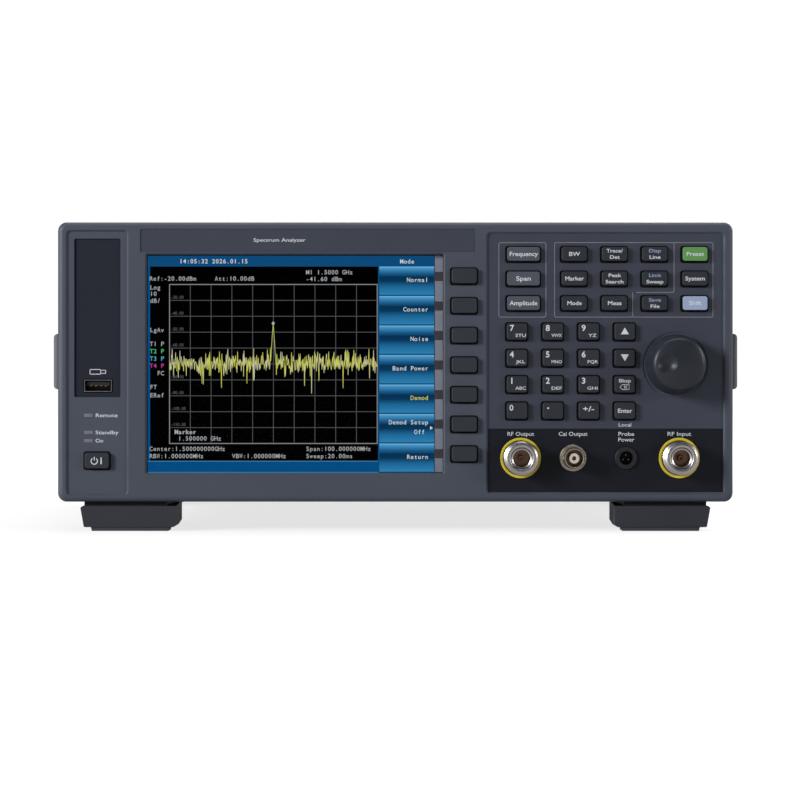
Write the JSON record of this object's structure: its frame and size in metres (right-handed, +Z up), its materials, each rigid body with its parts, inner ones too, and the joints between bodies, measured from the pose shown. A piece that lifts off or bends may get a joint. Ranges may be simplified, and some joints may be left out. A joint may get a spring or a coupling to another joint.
{
  "type": "spectrum analyzer",
  "caption": "Bench spectrum analyzer: wide display with softkeys, keypad, tuning knob, coaxial jacks, strap handles and folding tilt stands on a sheet case.",
  "frame": {"origin": "centre of the footprint on the surface the feet stand on", "axes": "+Y from the front panel to the rear, along the depth; +X to the right seen from the front; +Z up"},
  "size_m": [0.34, 0.4, 0.1463],
  "materials": {
    "bezel": "fine texture",
    "key_dark": "satin",
    "key_main": "satin",
    "key_green": "satin",
    "key_blue": "satin",
    "knob": "satin",
    "display": "gloss",
    "board": "solder mask",
    "nickel": "polished",
    "black_plastic": "satin",
    "case_paint": "fine texture",
    "tray_metal": "plain",
    "rear_plastic": "fine texture",
    "foot_plastic": "satin",
    "cap_plastic": "satin",
    "strap": "matte",
    "screw_steel": "plated",
    "supply": "plain",
    "receiver_metal": "milled",
    "wire": "satin"
  },
  "bodies": {
    "instrument": {"front_bezel": "bezel", "display": "display", "circuit_boards": "board", "coaxial_jacks": "nickel", "panel_sockets": "black_plastic", "case_sleeve": "case_paint", "chassis": "tray_metal", "rear_panel": "rear_plastic", "feet": "foot_plastic", "strap_caps": "cap_plastic", "fasteners": "screw_steel", "fan_frame": "black_plastic", "power_supply": "supply", "rf_module": "receiver_metal"},
    "tilt_stand_left": {"tilt_stand_left": "wire"},
    "tilt_stand_right": {"tilt_stand_right": "wire"},
    "strap_left": {"strap_left": "strap"},
    "strap_right": {"strap_right": "strap"},
    "knob": {"knob": "knob"},
    "fan_rotor": {"fan_rotor": "black_plastic"},
    "power_rocker": {"power_rocker": "black_plastic"},
    "softkey_1": {"softkey_1": "key_dark"},
    "softkey_2": {"softkey_2": "key_dark"},
    "softkey_3": {"softkey_3": "key_dark"},
    "softkey_4": {"softkey_4": "key_dark"},
    "softkey_5": {"softkey_5": "key_dark"},
    "softkey_6": {"softkey_6": "key_dark"},
    "softkey_7": {"softkey_7": "key_dark"},
    "key_frequency": {"key_frequency": "key_main"},
    "key_span": {"key_span": "key_main"},
    "key_amplitude": {"key_amplitude": "key_main"},
    "key_bandwidth": {"key_bandwidth": "key_dark"},
    "key_trace": {"key_trace": "key_dark"},
    "key_display": {"key_display": "key_dark"},
    "key_marker": {"key_marker": "key_dark"},
    "key_peak": {"key_peak": "key_dark"},
    "key_sweep": {"key_sweep": "key_dark"},
    "key_system": {"key_system": "key_dark"},
    "key_mode": {"key_mode": "key_dark"},
    "key_measure": {"key_measure": "key_dark"},
    "key_file": {"key_file": "key_dark"},
    "key_preset": {"key_preset": "key_green"},
    "key_shift": {"key_shift": "key_blue"},
    "key_7": {"key_7": "key_dark"},
    "key_8": {"key_8": "key_dark"},
    "key_9": {"key_9": "key_dark"},
    "key_up": {"key_up": "key_dark"},
    "key_4": {"key_4": "key_dark"},
    "key_5": {"key_5": "key_dark"},
    "key_6": {"key_6": "key_dark"},
    "key_down": {"key_down": "key_dark"},
    "key_1": {"key_1": "key_dark"},
    "key_2": {"key_2": "key_dark"},
    "key_3": {"key_3": "key_dark"},
    "key_backspace": {"key_backspace": "key_dark"},
    "key_0": {"key_0": "key_dark"},
    "key_point": {"key_point": "key_dark"},
    "key_sign": {"key_sign": "key_dark"},
    "key_enter": {"key_enter": "key_dark"},
    "key_power": {"key_power": "key_dark"}
  },
  "joints": [
    {"name": "tilt_stand_left_fold", "type": "hinge", "parent": "instrument", "child": "tilt_stand_left", "pos_m": [-0.1266, -0.152, 0.005], "axis": [-1, 0, 0], "range_deg": [0, 100]},
    {"name": "tilt_stand_right_fold", "type": "hinge", "parent": "instrument", "child": "tilt_stand_right", "pos_m": [0.1266, -0.152, 0.005], "axis": [-1, 0, 0], "range_deg": [0, 100]},
    {"name": "strap_left_lift", "type": "slide", "parent": "instrument", "child": "strap_left", "axis": [-1, 0, 0], "range_m": [0, 0.015], "stiffness_N_per_m": 2000, "deforming": ["strap_left"]},
    {"name": "strap_right_lift", "type": "slide", "parent": "instrument", "child": "strap_right", "axis": [1, 0, 0], "range_m": [0, 0.015], "stiffness_N_per_m": 2000, "deforming": ["strap_right"]},
    {"name": "knob_turn", "type": "hinge", "parent": "instrument", "child": "knob", "pos_m": [0.1326, -0.19, 0.0788], "axis": [0, 1, 0], "continuous": true},
    {"name": "fan_spin", "type": "hinge", "parent": "instrument", "child": "fan_rotor", "pos_m": [-0.104, 0.1666, 0.1058], "axis": [0, 1, 0], "continuous": true},
    {"name": "power_rocker_tilt", "type": "hinge", "parent": "instrument", "child": "power_rocker", "pos_m": [-0.084, 0.1775, 0.0438], "axis": [-1, 0, 0], "range_deg": [0, 20]},
    {"name": "key_power_press", "type": "slide", "parent": "instrument", "child": "key_power", "axis": [0, 1, 0], "range_m": [0, 0.001], "stiffness_N_per_m": 1500},
    {"name": "key_preset_press", "type": "slide", "parent": "instrument", "child": "key_preset", "axis": [0, 1, 0], "range_m": [0, 0.001], "stiffness_N_per_m": 1500},
    {"name": "key_shift_press", "type": "slide", "parent": "instrument", "child": "key_shift", "axis": [0, 1, 0], "range_m": [0, 0.001], "stiffness_N_per_m": 1500},
    {"name": "key_frequency_press", "type": "slide", "parent": "instrument", "child": "key_frequency", "axis": [0, 1, 0], "range_m": [0, 0.001], "stiffness_N_per_m": 1500},
    {"name": "key_span_press", "type": "slide", "parent": "instrument", "child": "key_span", "axis": [0, 1, 0], "range_m": [0, 0.001], "stiffness_N_per_m": 1500},
    {"name": "key_amplitude_press", "type": "slide", "parent": "instrument", "child": "key_amplitude", "axis": [0, 1, 0], "range_m": [0, 0.001], "stiffness_N_per_m": 1500},
    {"name": "softkey_1_press", "type": "slide", "parent": "instrument", "child": "softkey_1", "axis": [0, 1, 0], "range_m": [0, 0.001], "stiffness_N_per_m": 1500},
    {"name": "softkey_2_press", "type": "slide", "parent": "instrument", "child": "softkey_2", "axis": [0, 1, 0], "range_m": [0, 0.001], "stiffness_N_per_m": 1500},
    {"name": "softkey_3_press", "type": "slide", "parent": "instrument", "child": "softkey_3", "axis": [0, 1, 0], "range_m": [0, 0.001], "stiffness_N_per_m": 1500},
    {"name": "softkey_4_press", "type": "slide", "parent": "instrument", "child": "softkey_4", "axis": [0, 1, 0], "range_m": [0, 0.001], "stiffness_N_per_m": 1500},
    {"name": "softkey_5_press", "type": "slide", "parent": "instrument", "child": "softkey_5", "axis": [0, 1, 0], "range_m": [0, 0.001], "stiffness_N_per_m": 1500},
    {"name": "softkey_6_press", "type": "slide", "parent": "instrument", "child": "softkey_6", "axis": [0, 1, 0], "range_m": [0, 0.001], "stiffness_N_per_m": 1500},
    {"name": "softkey_7_press", "type": "slide", "parent": "instrument", "child": "softkey_7", "axis": [0, 1, 0], "range_m": [0, 0.001], "stiffness_N_per_m": 1500},
    {"name": "key_bandwidth_press", "type": "slide", "parent": "instrument", "child": "key_bandwidth", "axis": [0, 1, 0], "range_m": [0, 0.001], "stiffness_N_per_m": 1500},
    {"name": "key_trace_press", "type": "slide", "parent": "instrument", "child": "key_trace", "axis": [0, 1, 0], "range_m": [0, 0.001], "stiffness_N_per_m": 1500},
    {"name": "key_display_press", "type": "slide", "parent": "instrument", "child": "key_display", "axis": [0, 1, 0], "range_m": [0, 0.001], "stiffness_N_per_m": 1500},
    {"name": "key_marker_press", "type": "slide", "parent": "instrument", "child": "key_marker", "axis": [0, 1, 0], "range_m": [0, 0.001], "stiffness_N_per_m": 1500},
    {"name": "key_peak_press", "type": "slide", "parent": "instrument", "child": "key_peak", "axis": [0, 1, 0], "range_m": [0, 0.001], "stiffness_N_per_m": 1500},
    {"name": "key_sweep_press", "type": "slide", "parent": "instrument", "child": "key_sweep", "axis": [0, 1, 0], "range_m": [0, 0.001], "stiffness_N_per_m": 1500},
    {"name": "key_system_press", "type": "slide", "parent": "instrument", "child": "key_system", "axis": [0, 1, 0], "range_m": [0, 0.001], "stiffness_N_per_m": 1500},
    {"name": "key_mode_press", "type": "slide", "parent": "instrument", "child": "key_mode", "axis": [0, 1, 0], "range_m": [0, 0.001], "stiffness_N_per_m": 1500},
    {"name": "key_measure_press", "type": "slide", "parent": "instrument", "child": "key_measure", "axis": [0, 1, 0], "range_m": [0, 0.001], "stiffness_N_per_m": 1500},
    {"name": "key_file_press", "type": "slide", "parent": "instrument", "child": "key_file", "axis": [0, 1, 0], "range_m": [0, 0.001], "stiffness_N_per_m": 1500},
    {"name": "key_7_press", "type": "slide", "parent": "instrument", "child": "key_7", "axis": [0, 1, 0], "range_m": [0, 0.001], "stiffness_N_per_m": 1500},
    {"name": "key_8_press", "type": "slide", "parent": "instrument", "child": "key_8", "axis": [0, 1, 0], "range_m": [0, 0.001], "stiffness_N_per_m": 1500},
    {"name": "key_9_press", "type": "slide", "parent": "instrument", "child": "key_9", "axis": [0, 1, 0], "range_m": [0, 0.001], "stiffness_N_per_m": 1500},
    {"name": "key_up_press", "type": "slide", "parent": "instrument", "child": "key_up", "axis": [0, 1, 0], "range_m": [0, 0.001], "stiffness_N_per_m": 1500},
    {"name": "key_4_press", "type": "slide", "parent": "instrument", "child": "key_4", "axis": [0, 1, 0], "range_m": [0, 0.001], "stiffness_N_per_m": 1500},
    {"name": "key_5_press", "type": "slide", "parent": "instrument", "child": "key_5", "axis": [0, 1, 0], "range_m": [0, 0.001], "stiffness_N_per_m": 1500},
    {"name": "key_6_press", "type": "slide", "parent": "instrument", "child": "key_6", "axis": [0, 1, 0], "range_m": [0, 0.001], "stiffness_N_per_m": 1500},
    {"name": "key_down_press", "type": "slide", "parent": "instrument", "child": "key_down", "axis": [0, 1, 0], "range_m": [0, 0.001], "stiffness_N_per_m": 1500},
    {"name": "key_1_press", "type": "slide", "parent": "instrument", "child": "key_1", "axis": [0, 1, 0], "range_m": [0, 0.001], "stiffness_N_per_m": 1500},
    {"name": "key_2_press", "type": "slide", "parent": "instrument", "child": "key_2", "axis": [0, 1, 0], "range_m": [0, 0.001], "stiffness_N_per_m": 1500},
    {"name": "key_3_press", "type": "slide", "parent": "instrument", "child": "key_3", "axis": [0, 1, 0], "range_m": [0, 0.001], "stiffness_N_per_m": 1500},
    {"name": "key_backspace_press", "type": "slide", "parent": "instrument", "child": "key_backspace", "axis": [0, 1, 0], "range_m": [0, 0.001], "stiffness_N_per_m": 1500},
    {"name": "key_0_press", "type": "slide", "parent": "instrument", "child": "key_0", "axis": [0, 1, 0], "range_m": [0, 0.001], "stiffness_N_per_m": 1500},
    {"name": "key_point_press", "type": "slide", "parent": "instrument", "child": "key_point", "axis": [0, 1, 0], "range_m": [0, 0.001], "stiffness_N_per_m": 1500},
    {"name": "key_sign_press", "type": "slide", "parent": "instrument", "child": "key_sign", "axis": [0, 1, 0], "range_m": [0, 0.001], "stiffness_N_per_m": 1500},
    {"name": "key_enter_press", "type": "slide", "parent": "instrument", "child": "key_enter", "axis": [0, 1, 0], "range_m": [0, 0.001], "stiffness_N_per_m": 1500}
  ]
}
